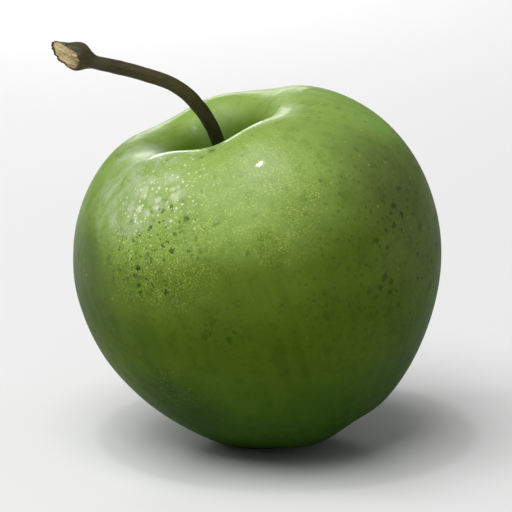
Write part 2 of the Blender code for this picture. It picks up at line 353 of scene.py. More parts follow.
def stem_mesh():
    """The stem with its bark's ridges, its lumpy knob and its torn, fibrous end."""
    line, radii = stem_line()
    step = np.linalg.norm(np.diff(line, axis=0), axis=1)
    length = np.concatenate([[0.0], np.cumsum(step)])
    turn = np.linspace(0, math.tau, STEM_SIDES, endpoint=False)
    route = stem_route()
    before, last = [np.array((across, 0.0, along)) for across, along, _ in route[-2:]]
    outward = (last - before) / np.linalg.norm(last - before)
    forward = np.array((0.0, -1.0, 0.0))
    down = np.cross(forward, outward)
    sideways = forward * math.cos(BREAK_ROLL) + down * math.sin(BREAK_ROLL)
    facing = outward * math.cos(BREAK_SLANT) + sideways * math.sin(BREAK_SLANT)

    def surface(distance, angle):
        """A point at a distance along the stem and an angle about it, with the radius there."""
        middle = np.stack([np.interp(distance, length, line[:, k]) for k in range(3)], -1)
        ahead = np.stack([np.interp(distance + 0.1 * MM, length, line[:, k]) for k in range(3)], -1)
        behind = np.stack([np.interp(distance - 0.1 * MM, length, line[:, k]) for k in range(3)], -1)
        along = ahead - behind
        along /= np.linalg.norm(along, axis=-1, keepdims=True)
        side = np.zeros_like(along)
        side[..., 1] = 1.0
        up = np.cross(along, side)
        size = np.interp(distance, length, radii)
        out = side * np.cos(angle)[..., None] + up * np.sin(angle)[..., None]
        return middle, out, size

    fine = np.linspace(length[-1] - 11 * MM, length[-1], 400)
    cut = np.empty(STEM_SIDES)
    for index, angle in enumerate(turn):
        middle, out, size = surface(fine, np.full_like(fine, angle))
        depth = (middle + out * size[:, None] - before) @ facing
        ragged = 0.22 * MM * noise.noise(Vector((4.0 * angle, 2.0, 0.5)))
        ragged += 0.16 * MM * noise.noise(Vector((11.0 * angle, 7.0, 0.5)))
        cut[index] = np.interp(ragged, depth, fine)
    typical = cut.mean()
    share = np.linspace(0, 1, STEM_RINGS)[:, None]
    distance = share * typical + eased((share - 0.80) / 0.20) * (cut[None, :] - typical)
    angle = turn[None, :] + 0 * share
    middle, out, size = surface(distance, angle)
    grain = np.stack([np.cos(angle), np.sin(angle), distance / (9 * MM)], -1).reshape(-1, 3)
    coarse = np.stack([np.cos(angle), np.sin(angle), distance / (2.6 * MM)], -1).reshape(-1, 3)
    ridges = lumps(grain * 1.7, 1.0, 5) * RIDGE_SHARE
    ridges = ridges + lumps(grain * 4.5, 1.0, 6) * FINE_RIDGE_SHARE
    knots = lumps(coarse * 0.8, 1.0, 7)
    knob = eased((distance - (typical - 7.0 * MM)) / (3.5 * MM)).reshape(-1)
    root = eased((6 * MM - distance) / (4 * MM)).reshape(-1)
    bulge = ridges * (1 + 1.2 * knob) + knots * (KNOT_SHARE + KNOB_KNOT_SHARE * knob)
    bulge = (bulge * (1 - root)).reshape(distance.shape)
    radius = size * (1 + bulge)
    tube = middle + out * radius[..., None]

    rim = tube[-1]
    centre = rim.mean(0)
    fibre = outward - facing * (outward @ facing)
    fibre /= np.linalg.norm(fibre)
    across = np.cross(facing, fibre)
    caps, across_face, along_face = [], [], []
    for ring in range(1, BREAK_RINGS):
        inward = ring / BREAK_RINGS
        flat = rim + (centre - rim) * inward
        local = flat - centre
        sideward, lengthward = local @ across / MM, local @ fibre / MM
        across_face.append(sideward)
        along_face.append(lengthward)
        zero = np.zeros_like(sideward)
        lines = lumps(np.stack([sideward / 0.32, lengthward / 2.8, zero], -1), 1.0, 8)
        tears = lumps(np.stack([sideward / 0.9, lengthward / 1.6, zero], -1), 1.0, 9)
        raised = FACE_RISE * eased((inward - 0.10) / 0.25) - FACE_NOTCH * eased(inward / 0.10)
        torn = FIBRE_RELIEF * lines + TEAR_RELIEF * tears
        relief = raised + torn * eased((inward - 0.05) / 0.2)
        caps.append(flat + facing * relief[:, None])
    rings = np.concatenate([tube, np.array(caps)])
    mesh = turned_mesh("apple_stem", to_world(rings.reshape(-1, 3)).reshape(rings.shape))

    wood = np.zeros((len(rings), STEM_SIDES))
    for ring in range(1, BREAK_RINGS):
        wood[STEM_RINGS - 1 + ring] = eased((ring / BREAK_RINGS - 0.02) / 0.14)
    along = np.concatenate([distance, np.repeat(distance[-1:], BREAK_RINGS - 1, 0)])
    spin = np.repeat(turn[None], len(rings), 0)
    flat_rings = np.zeros((STEM_RINGS, STEM_SIDES))
    store(mesh, "wood", np.append(wood.ravel(), [0.0, 1.0]))
    store(mesh, "face_side", np.append(np.concatenate([flat_rings, across_face]).ravel(), [0, 0]))
    store(mesh, "face_length", np.append(np.concatenate([flat_rings, along_face]).ravel(), [0, 0]))
    store(mesh, "along", np.append(along.ravel(), [0.0, typical]) / MM)
    store(mesh, "round_x", np.append(np.cos(spin).ravel(), [0.0, 0.0]))
    store(mesh, "round_y", np.append(np.sin(spin).ravel(), [0.0, 0.0]))
    return mesh


def store(mesh, name, values):
    """Keeps one number for each point of the mesh, for its material to read."""
    layer = mesh.attributes.new(name, "FLOAT", "POINT")
    layer.data.foreach_set("value", np.asarray(values, np.float32))


SEPAL_ROWS = 28
SEPAL_COLUMNS = 17
SEPAL_HALF_THICKNESS = 0.20 * MM
SEPAL_EDGE = 0.03 * MM


def sepal_mesh(index):
    """A dry sepal: a keeled, tapering tongue with a thin wavy edge and a hooked tip."""
    foot = BASIN_DEPTH - 2 * CLEARANCE
    line = curve_points(
        (EYE_RADIUS + SEPAL_FOOT_OFFSET, foot),
        (SEPAL_THROAT_RADIUS, foot - SEPAL_HEIGHT / 2),
        (SEPAL_THROAT_RADIUS, foot - SEPAL_HEIGHT),
        (EYE_RADIUS + SEPAL_CURL, foot - SEPAL_HEIGHT),
        SEPAL_ROWS - 1,
    )
    line = np.array(line)
    place = np.linspace(0, 1, SEPAL_ROWS)[:, None]
    side = np.linspace(-1, 1, SEPAL_COLUMNS)[None, :]
    half = math.pi / SEPALS - CLEARANCE / (EYE_RADIUS + SEPAL_FOOT_OFFSET)
    wave = 0.12 * np.sin(9 * place + 1.7 * index + 2 * side) * np.abs(side)
    turn = side * half * (1 - 0.88 * place**1.4) * 0.95 + LOBE_TURN + math.tau * index / SEPALS
    drop = 0.5 * MM * noise.noise(Vector((index * 3.1, 0.0, 0.0)))
    radius = line[:, 0][:, None] - 0.25 * MM * (1 - np.abs(side)) * (1 - place) * place * 4
    radius = radius + wave * 1.6 * MM * place
    height = line[:, 1][:, None] + drop * place**2 + 0.25 * MM * np.abs(side) * place
    middle = np.stack([radius * np.cos(turn), radius * np.sin(turn), height + 0 * side], -1)
    down = np.gradient(middle, axis=0)
    over = np.gradient(middle, axis=1)
    out = np.cross(down, over)
    out /= np.linalg.norm(out, axis=-1, keepdims=True)
    thick = SEPAL_HALF_THICKNESS * (1 - 0.55 * place) * (1 - 0.75 * side**2) + SEPAL_EDGE
    front = middle + out * thick[..., None]
    back = middle - out * thick[..., None]
    points = np.concatenate([front.reshape(-1, 3), back.reshape(-1, 3)])
    faces = []
    shift = SEPAL_ROWS * SEPAL_COLUMNS

    def number(row, column, layer):
        return layer * shift + row * SEPAL_COLUMNS + column

    for row in range(SEPAL_ROWS - 1):
        for column in range(SEPAL_COLUMNS - 1):
            square = [(row, column), (row + 1, column), (row + 1, column + 1), (row, column + 1)]
            faces.append([number(*corner, 0) for corner in square])
            faces.append([number(*corner, 1) for corner in reversed(square)])
    edge = [(0, column) for column in range(SEPAL_COLUMNS)]
    edge += [(row, SEPAL_COLUMNS - 1) for row in range(1, SEPAL_ROWS)]
    edge += [(SEPAL_ROWS - 1, column) for column in range(SEPAL_COLUMNS - 2, -1, -1)]
    edge += [(row, 0) for row in range(SEPAL_ROWS - 2, 0, -1)]
    for here, after in zip(edge, edge[1:] + edge[:1]):
        faces.append([number(*here, 0), number(*after, 0), number(*after, 1), number(*here, 1)])
    mesh = bpy.data.meshes.new(f"dry_sepal_{index + 1}")
    mesh.from_pydata(to_world(points).tolist(), [], faces)
    mesh.shade_smooth()
    return mesh


def thread_rings(points, radius, sides):
    """Rings of a thin round thread through points, tapering a little to its end."""
    points = np.array(points)
    along = np.gradient(points, axis=0)
    along /= np.linalg.norm(along, axis=1, keepdims=True)
    side = np.cross(along, (0.3, 0.9, 0.1))
    side /= np.linalg.norm(side, axis=1, keepdims=True)
    up = np.cross(along, side)
    turn = np.linspace(0, math.tau, sides, endpoint=False)
    size = radius * (1 - 0.4 * np.linspace(0, 1, len(points)))
    out = side[:, None] * np.cos(turn)[None, :, None] + up[:, None] * np.sin(turn)[None, :, None]
    return points[:, None] + out * size[:, None, None]


STAMENS = 14
STAMEN_RADIUS = 0.13 * MM
STAMEN_SIDES = 7
STYLE_LENGTH = 6.2 * MM
STYLE_RADIUS = 0.38 * MM
STYLE_SIDES = 10


def stamens_mesh():
    """The dried threads that stay in the eye inside the sepals."""
    top = BASIN_DEPTH + EYE_DEPTH - CLEARANCE
    parts = []
    for index in range(STAMENS):
        turn = math.tau * index / STAMENS + 0.3 * math.sin(5 * index)
        reach = (5.6 + 0.9 * math.sin(3.7 * index)) * MM
        start, throat = 1.55 * MM, (0.95 + 0.15 * math.sin(2.1 * index)) * MM
        points = []
        for share in np.linspace(0, 1, 9):
            radius = start + (throat - start) * math.sin(share * 2.2) ** 2
            bend = turn + 0.5 * share * math.sin(1.3 * index)
            points.append(
                (radius * math.cos(bend), radius * math.sin(bend), top - reach * share)
            )
        parts.append(thread_rings(points, STAMEN_RADIUS, STAMEN_SIDES))
    middle = [
        (0.1 * MM * math.sin(4 * share), 0.0, top - STYLE_LENGTH * share)
        for share in np.linspace(0, 1, 9)
    ]
    parts.append(thread_rings(middle, STYLE_RADIUS, STYLE_SIDES))
    meshes = [turned_mesh("thread", to_world(p.reshape(-1, 3)).reshape(p.shape)) for p in parts]
    points, faces = [], []
    for mesh in meshes:
        base = len(points)
        points += [tuple(vert.co) for vert in mesh.vertices]
        faces += [[base + v for v in poly.vertices] for poly in mesh.polygons]
        bpy.data.meshes.remove(mesh)
    joined = bpy.data.meshes.new("dry_stamens")
    joined.from_pydata(points, [], faces)
    joined.shade_smooth()
    return joined


# ---------------------------------------------------------------- materials


def srgb(red, green, blue):
    """A linear colour from 8-bit display values."""
    shares = [value / 255 for value in (red, green, blue)]
    linear = [s / 12.92 if s <= 0.04045 else ((s + 0.055) / 1.055) ** 2.4 for s in shares]
    return (*linear, 1.0)


class Graph:
    """A material under construction, with short calls that add and join nodes."""

    def __init__(self, name):
        self.material = bpy.data.materials.new(name)
        self.material.use_nodes = True
        self.nodes = self.material.node_tree.nodes
        self.links = self.material.node_tree.links
        self.shader = self.nodes["Principled BSDF"]

    def node(self, kind, *inputs, **settings):
        """A node with its inputs by position: a socket is linked and a value is set."""
        made = self.nodes.new("ShaderNode" + kind)
        for key, value in settings.items():
            setattr(made, key, value)
        for socket, value in zip(made.inputs, inputs):
            self.join(socket, value)
        return made

    def join(self, socket, value):
        if isinstance(value, bpy.types.NodeSocket):
            self.links.new(value, socket)
        elif value is not None:
            socket.default_value = value

    def math(self, operation, first, second=0.0):
        return self.node("Math", first, second, operation=operation).outputs[0]

    def product(self, first, *others):
        for other in others:
            first = self.math("MULTIPLY", first, other)
        return first

    def total(self, first, *others):
        for other in others:
            first = self.math("ADD", first, other)
        return first

    def rise(self, value, low, high):
        """0 at low and 1 at high, with soft ends; low may be the larger."""
        made = self.node("MapRange", interpolation_type="SMOOTHSTEP")
        for name, given in (("Value", value), ("From Min", low), ("From Max", high)):
            self.join(made.inputs[name], given)
        return made.outputs["Result"]

    def mix(self, share, first, second, mode="MIX"):
        made = self.node("Mix", data_type="RGBA", blend_type=mode)
        self.join(made.inputs[0], share)
        self.join(made.inputs[6], first)
        self.join(made.inputs[7], second)
        return made.outputs[2]

    def ramp(self, value, *stops):
        made = self.node("ValToRGB", value)
        made.color_ramp.interpolation = "EASE"
        elements = made.color_ramp.elements
        while len(elements) < len(stops):
            elements.new(0.5)
        for element, (place, colour) in zip(elements, stops):
            element.position = place
            element.color = colour
        return made.outputs["Color"]

    def noise(self, vector, size, detail=2.0, roughness=0.5, distortion=0.0):
        """Noise from 0 to 1 whose lumps are that size, in the vector's unit."""
        made = self.node("TexNoise")
        settings = (
            ("Vector", vector),
            ("Scale", 1 / size),
            ("Detail", detail),
            ("Roughness", roughness),
            ("Distortion", distortion),
        )
        for name, value in settings:
            self.join(made.inputs[name], value)
        return made.outputs["Fac"]

    def cells(self, vector, size):
        """Distance to the nearest of scattered points that far apart, and a number of its own."""
        made = self.node("TexVoronoi")
        self.join(made.inputs["Vector"], vector)
        self.join(made.inputs["Scale"], 1 / size)
        apart = self.node("SeparateColor", made.outputs["Color"])
        return made.outputs["Distance"], apart.outputs[0], apart.outputs[1]

    def warp(self, vector, size, amount):
        """The vector pushed about by noise of that lump size."""
        made = self.node("TexNoise")
        self.join(made.inputs["Vector"], vector)
        self.join(made.inputs["Scale"], 1 / size)
        centred = self.node("VectorMath", made.outputs["Color"], (0.5, 0.5, 0.5))
        centred.operation = "SUBTRACT"
        push = self.node("VectorMath", centred.outputs[0], operation="SCALE")
        push.inputs["Scale"].default_value = amount
        return self.node("VectorMath", vector, push.outputs[0], operation="ADD").outputs[0]

    def near(self, vector, point, full, none):
        """1 within full of the point, falling to 0 at none from it."""
        gap = self.node("VectorMath", vector, point, operation="DISTANCE").outputs["Value"]
        return self.rise(gap, none, full)

    def dots(self, vector, size, share, small, large):
        """Round spots: of points that far apart, that share has one, small to large across."""
        gap, chance, width = self.cells(vector, size)
        here = self.math("LESS_THAN", chance, share)
        edge = self.node("MapRange", width)
        edge.inputs["To Min"].default_value = small / 2 / size
        edge.inputs["To Max"].default_value = large / 2 / size
        inner = self.math("MULTIPLY", edge.outputs["Result"], 0.55)
        return self.product(self.rise(gap, edge.outputs["Result"], inner), here)

    def attribute(self, name):
        return self.node("Attribute", attribute_name=name).outputs["Fac"]

    def bump(self, height, depth, below=None):
        """Relief of that depth in metres where height goes from 0 to 1."""
        made = self.node("Bump")
        made.inputs["Strength"].default_value = 1.0
        made.inputs["Distance"].default_value = depth
        self.join(made.inputs["Height"], height)
        if below:
            self.join(made.inputs["Normal"], below)
        return made.outputs["Normal"]


def own_place(graph):
    """The place in the fruit's own frame, in millimetres."""
    where = graph.node("TexCoord").outputs["Object"]
    made = graph.node("Mapping", vector_type="TEXTURE")
    graph.join(made.inputs["Vector"], where)
    made.inputs["Location"].default_value = FRUIT_FRAME.translation
    made.inputs["Rotation"].default_value = FRUIT_FRAME.to_euler()
    made.inputs["Scale"].default_value = (MM, MM, MM)
    return made.outputs["Vector"]


def world_place(graph):
    """The place in the world, in millimetres."""
    where = graph.node("TexCoord").outputs["Object"]
    made = graph.node("VectorMath", where, operation="SCALE")
    made.inputs["Scale"].default_value = 1 / MM
    return made.outputs["Vector"]


# How far towards the painted light from the middle of the apple the ramp of painted light and shade
# begins and ends
PAINTED_SHADE_END = -30.0
PAINTED_LIGHT_END = 40.0
# The skin's greens, from the base in painted shade to the shoulder in painted light, and how far
# in millimetres towards the painted light each one lies
PAINTED_SHADING_GREENS = [
    (-24.0, (50, 80, 10)),
    (0.0, (75, 100, 12)),
    (14.0, (92, 118, 20)),
    (28.0, (142, 173, 80)),
]
# Patches of painted shade: (middle, full within, none beyond in millimetres, share, colour multiplied
# in)
PAINTED_SHADE_PATCHES = [
    ((23.0, -18.0, 60.0), 3.0, 17.0, 0.90, (190, 192, 186)),
    ((15.0, -31.0, 53.0), 5.0, 13.0, 0.45, (198, 204, 170)),
    ((-35.0, -14.0, 39.0), 6.0, 16.0, 0.70, (186, 200, 150)),
    ((-17.0, -24.0, 12.0), 5.0, 15.0, 0.70, (180, 196, 150)),
    ((7.0, -32.5, 22.0), 3.0, 13.0, 0.25, (206, 212, 190)),
]


# Directions and places on the apple, in millimetres of the world
# the direction from which the skin's light and shade are painted
PAINTED_LIGHT_DIRECTION = (-0.20, -0.19, 0.96)
HEART = (1.0, 0.4, 37.0)
RIGHT_CHEEK = (31.0, -15.0, 52.0)
RIGHT_FLECKS = (30.5, -18.0, 46.0)
RIGHT_FAINT_FLECKS = (24.0, -24.0, 44.0)
RIGHT_SHOULDER = (23.5, -3.0, 65.0)
FRONT_SHOULDER = (0.0, -29.0, 60.5)
LEFT_STIPPLE = (-18.0, -28.0, 52.0)
LEFT_FLECKS = (-20.3, -29.6, 48.0)
LEFT_SPECKS = (-19.5, -25.0, 57.0)
LEFT_DEW_GLINTS = (-20.0, -25.2, 56.8)
LEFT_DEW = (-20.0, -25.0, 56.6)
LEFT_SHOULDER = (-24.5, -18.0, 60.0)
LEFT_RIM = (-23.5, -4.0, 62.8)
POLISHED_RIM = (-18.5, -14.5, 63.6)
CREST = (-4.0, -17.5, 67.2)
SCAR = (-8.9, -19.9, 65.7)
SPARK = (1.0, -27.0, 64.1)
BELLY_FLECKS = (-7.0, -35.5, 33.5)
BELLY_SMUDGES = (-8.0, -35.0, 33.0)
FOOT_DUST = (-15.0, -25.0, 19.0)

# The skin's marks, and the colours of its painted light and shade
DULL_SHADED_OLIVE = srgb(98, 104, 62)
RIM_LIGHT_GREEN = srgb(120, 188, 76)
STREAK = srgb(206, 220, 160)
MOTTLE = srgb(186, 208, 126)
GRAIN = srgb(250, 255, 220)
YELLOW_STIPPLE = srgb(194, 212, 100)
PALE_PORE = srgb(180, 200, 112)
DARK_FLECK = srgb(16, 66, 0)
SMUDGE = srgb(38, 50, 10)
FAINT_FLECK = srgb(42, 56, 10)
SCAR_GREEN = srgb(58, 88, 30)
STRAY_FLECK = srgb(52, 74, 22)
PALE_BLOOM_GLARE = srgb(200, 212, 190)
DEW_GLINT_WHITE = srgb(226, 234, 206)
WHITE_SPECK = srgb(226, 236, 196)
PALE_DUST = srgb(176, 192, 130)
HOLLOW_GREEN_AND_SHADE = srgb(76, 108, 14)
THROAT_SHADE_GREEN = srgb(46, 74, 6)
BASIN_BROWN = srgb(60, 58, 24)


def skin_material():
    """Green skin: painted light and shade, streaks, mottling, stipple, pores, flecks, bloom with painted
    highlights and a waxy coat.
    """
    graph = Graph("green_skin")
    own = own_place(graph)
    world = world_place(graph)
    apart = graph.node("SeparateXYZ", own)
    flat = graph.node("CombineXYZ", apart.outputs[0], apart.outputs[1], 0.0).outputs[0]
    from_core = graph.node("VectorMath", flat, operation="LENGTH").outputs["Value"]
    height = apart.outputs[2]

    # painted light and shade: pale, yellowish green at the top, deep green in painted shade at the base
    from_heart = graph.node("VectorMath", world, HEART, operation="SUBTRACT").outputs[0]
    painted_light_way = Vector(PAINTED_LIGHT_DIRECTION).normalized()
    painted_light_level = graph.node("VectorMath", from_heart, painted_light_way, operation="DOT_PRODUCT").outputs["Value"]
    drift = graph.math("SUBTRACT", graph.noise(world, 13.0, 3.0, 0.5), 0.5)
    level = graph.node("MapRange", graph.total(painted_light_level, graph.product(drift, 14.0)))
    level.inputs["From Min"].default_value = PAINTED_SHADE_END
    level.inputs["From Max"].default_value = PAINTED_LIGHT_END
    stops = [
        ((place - PAINTED_SHADE_END) / (PAINTED_LIGHT_END - PAINTED_SHADE_END), srgb(*shade))
        for place, shade in PAINTED_SHADING_GREENS
    ]
    colour = graph.ramp(level.outputs["Result"], *stops)

    # broad soft patches of painted shade, a duller olive right cheek that is partly painted shade, and a
    # painted rim light
    for point, full, none, amount, shade in PAINTED_SHADE_PATCHES:
        share = graph.product(graph.near(graph.warp(world, 12.0, 6.0), point, full, none), amount)
        colour = graph.mix(share, colour, srgb(*shade), "MULTIPLY")

    # the right cheek turns duller olive, partly its own tone and partly painted shade on the side away
    # from the light
    dull_and_shaded = graph.near(graph.warp(world, 12.0, 8.0), RIGHT_CHEEK, 8.0, 22.0)
    colour = graph.mix(graph.product(dull_and_shaded, 0.38), colour, DULL_SHADED_OLIVE)
    # a painted rim light: brighter fresh green along the right shoulder's edge
    painted_rim_light = graph.near(graph.warp(world, 8.0, 4.0), RIGHT_SHOULDER, 1.5, 8.0)
    colour = graph.mix(graph.product(painted_rim_light, 0.32), colour, RIM_LIGHT_GREEN)

    # faint streaks that run from the stem to the eye
    round_about = graph.node("VectorMath", flat, operation="NORMALIZE").outputs[0]
    along = graph.node("CombineXYZ", 0.0, 0.0, graph.product(height, 0.0025)).outputs[0]
    meridian = graph.node("VectorMath", round_about, along, operation="ADD").outputs[0]
    streaks = graph.noise(meridian, 0.09, 3.0, 0.6)
    open_side = graph.rise(from_core, 8.0, 22.0)
    fading = graph.rise(graph.noise(world, 15.0, 2.0), 0.35, 0.65)
    streaked = graph.product(graph.rise(streaks, 0.42, 0.70), open_side, fading, 0.60)
    colour = graph.mix(streaked, colour, STREAK, "MULTIPLY")

    # cloudy mottling, and the grain of the skin
    mottle = graph.noise(world, 2.6, 4.0, 0.6, 0.3)
    mottled = graph.product(graph.rise(mottle, 0.48, 0.74), 0.5)
    colour = graph.mix(mottled, colour, MOTTLE, "MULTIPLY")
    grain = graph.noise(world, 0.55, 2.0, 0.6)
    grained = graph.product(graph.rise(grain, 0.35, 0.75), 0.10)
    colour = graph.mix(grained, colour, GRAIN, "SOFT_LIGHT")

    # yellow stipple
    speckled = graph.math(
        "MAXIMUM",
        graph.near(graph.warp(world, 9.0, 6.0), FRONT_SHOULDER, 8.0, 19.0),
        graph.near(world, LEFT_STIPPLE, 8.0, 20.0),
    )
    stipple = graph.rise(graph.noise(world, 0.31, 1.0, 0.5), 0.48, 0.70)
    clumps = graph.rise(graph.noise(world, 2.2, 2.0), 0.25, 0.6)
    colour = graph.mix(graph.product(stipple, clumps, speckled, 0.62), colour, YELLOW_STIPPLE)

    # pale pores, all over, painted stronger towards the painted light as a painted sheen
    pores = graph.dots(world, 2.7, 0.8, 0.40, 0.95)
    showing = graph.total(graph.product(graph.rise(painted_light_level, 0.0, 26.0), 0.30), 0.05)
    colour = graph.mix(graph.product(pores, showing), colour, PALE_PORE)

    # dark flecks: crisp on the left cheek, soft smudges on the right one
    ragged = graph.warp(world, 0.7, 0.9)
    left = graph.near(graph.warp(world, 7.0, 5.0), LEFT_FLECKS, 6.0, 14.5)
    belly = graph.near(graph.warp(world, 7.0, 5.0), BELLY_FLECKS, 2.0, 9.0)
    flecked = graph.math("MAXIMUM", left, graph.product(belly, 0.65))
    flecks = graph.dots(ragged, 1.55, 0.9, 0.5, 1.6)
    fine = graph.dots(ragged, 0.85, 0.9, 0.25, 0.7)
    crisp = graph.math("MAXIMUM", flecks, fine)
    depth = graph.total(graph.product(graph.rise(graph.noise(world, 1.8, 1.0), 0.35, 0.65), 0.55), 0.38)
    colour = graph.mix(graph.product(crisp, flecked, depth), colour, DARK_FLECK)
    right = graph.math(
        "MAXIMUM",
        graph.near(graph.warp(world, 9.0, 6.0), RIGHT_FLECKS, 9.0, 23.0),
        graph.product(graph.near(graph.warp(world, 7.0, 6.0), BELLY_SMUDGES, 2.0, 10.0), 0.6),
    )
    smudges = graph.dots(graph.warp(world, 1.4, 1.6), 2.3, 0.85, 0.7, 2.1)
    colour = graph.mix(graph.product(smudges, right, 0.62), colour, SMUDGE)
    wide = graph.near(graph.warp(world, 12.0, 9.0), RIGHT_FAINT_FLECKS, 14.0, 32.0)
    faint = graph.dots(ragged, 1.15, 0.9, 0.3, 1.1)
    colour = graph.mix(graph.product(faint, wide, 0.34), colour, FAINT_FLECK)
    scar = graph.near(graph.warp(world, 1.0, 0.5), SCAR, 0.4, 1.2)
    colour = graph.mix(graph.product(scar, 0.55), colour, SCAR_GREEN)
    stray = graph.dots(ragged, 3.0, 0.6, 0.4, 1.3)
    colour = graph.mix(graph.product(stray, 0.35), colour, STRAY_FLECK)

    # white specks, and pale bloom on the left shoulder and rim that is partly a painted highlight
    bloom_and_glare = graph.math(
        "MAXIMUM",
        graph.near(graph.warp(world, 8.0, 8.0), LEFT_SHOULDER, 7.0, 16.0),
        graph.near(graph.warp(world, 5.0, 5.0), LEFT_RIM, 3.0, 9.0),
    )
    haze = graph.rise(graph.noise(world, 3.2, 3.0, 0.6), 0.30, 0.75)
    colour = graph.mix(graph.product(bloom_and_glare, haze, 0.50), colour, PALE_BLOOM_GLARE)
    # painted highlights: pale beads of dew glinting on the left cheek
    glint_spots = graph.dots(graph.warp(world, 2.5, 1.4), 2.6, 1.0, 1.6, 3.6)
    dew_glints = graph.near(world, LEFT_DEW_GLINTS, 2.0, 8.5)
    colour = graph.mix(graph.product(glint_spots, dew_glints, 0.50), colour, DEW_GLINT_WHITE)
    cheek = graph.near(graph.warp(world, 8.0, 5.0), LEFT_SPECKS, 6.0, 16.0)
    specks = graph.math(
        "MAXIMUM",
        graph.dots(world, 1.15, 0.85, 0.25, 0.8),
        graph.dots(world, 0.62, 0.7, 0.15, 0.40),
    )
    colour = graph.mix(graph.product(specks, cheek, 0.85), colour, WHITE_SPECK)

    # a little pale dust low on the left
    foot = graph.near(graph.warp(world, 5.0, 5.0), FOOT_DUST, 3.0, 9.0)
    dust = graph.dots(world, 0.62, 0.7, 0.15, 0.40)
    colour = graph.mix(graph.product(dust, foot, 0.30), colour, PALE_DUST)

    # the hollow round the stem is deep green, darkened further with painted shade towards its floor, and
    # the one round the eye darker and duller
    inside = graph.product(graph.rise(from_core, 17.0, 11.0), graph.rise(height, 46.0, 54.0))
    deep = graph.product(inside, graph.rise(height, 68.2, 63.2))
    colour = graph.mix(graph.product(deep, 0.95), colour, HOLLOW_GREEN_AND_SHADE)
    # painted shade, darkest deep in the cavity's throat
    throat = graph.product(inside, graph.rise(height, 64.0, 57.0))
    colour = graph.mix(graph.product(throat, 0.85), colour, THROAT_SHADE_GREEN)
    basin = graph.product(graph.rise(from_core, 9.0, 3.0), graph.rise(height, 14.0, 8.0))
    colour = graph.mix(graph.product(basin, 0.7), colour, BASIN_BROWN)
    graph.join(graph.shader.inputs["Base Color"], colour)

    # satin, with wax that shines only on the shoulder, on the dew and along the cavity's rim
    rough = graph.node("MapRange", graph.noise(world, 1.6, 3.0, 0.6))
    rough.inputs["To Min"].default_value = 0.36
    rough.inputs["To Max"].default_value = 0.58
    graph.join(graph.shader.inputs["Roughness"], rough.outputs["Result"])
    matt = graph.math("SUBTRACT", 1.0, graph.product(deep, 0.85))
    sheen = graph.rise(painted_light_level, 0.0, 24.0)
    level = graph.total(graph.product(sheen, 0.26, matt), 0.05)
    graph.join(graph.shader.inputs["Specular IOR Level"], level)
    blobs = graph.dots(graph.warp(world, 3.0, 1.2), 2.6, 1.0, 1.2, 4.2)
    dewy = graph.product(blobs, graph.near(world, LEFT_DEW, 3.0, 10.0), 0.8)
    polished = graph.product(graph.near(world, SPARK, 2.0, 7.0), 0.3)
    waxy = graph.product(graph.rise(height, 46.0, 66.0), 0.08, matt)
    bristly = graph.rise(graph.noise(world, 0.9, 3.0, 0.7), 0.30, 0.60)
    rim = graph.product(graph.near(world, POLISHED_RIM, 3.0, 7.5), bristly, 0.75)
    crest = graph.product(graph.near(world, CREST, 3.0, 9.0), bristly, 0.3)
    graph.join(graph.shader.inputs["Coat Weight"], graph.total(waxy, dewy, polished, rim, crest))
    graph.shader.inputs["Coat Roughness"].default_value = 0.07

    # gentle waves and a fine peel, calmed round the spark so that it stays one point of light
    lively = graph.near(world, SPARK, 8.0, 3.0)
    waves = graph.product(graph.noise(world, 4.0, 2.0, 0.5), lively)
    peel = graph.product(graph.noise(world, 0.9, 2.0, 0.5), graph.total(graph.product(lively, 0.8), 0.2))
    relief = graph.bump(peel, 0.030 * MM, graph.bump(waves, 0.22 * MM))
    relief = graph.bump(pores, 0.020 * MM, relief)
    graph.join(graph.shader.inputs["Normal"], relief)
    graph.join(graph.shader.inputs["Coat Normal"], relief)
    return graph.material


BARK_DARK = srgb(40, 36, 16)
BARK_LIGHT = srgb(70, 66, 32)
BARK_GREEN = srgb(60, 62, 26)
BARK_HIGHLIGHT_OLIVE = srgb(84, 76, 30)
BARK_ROOT = srgb(38, 44, 24)
BARK_KNOB = srgb(86, 78, 52)
BARK_SPECK = srgb(122, 112, 76)
BARK_PIT = srgb(22, 19, 9)
BROWNED_WOOD = srgb(112, 84, 46)


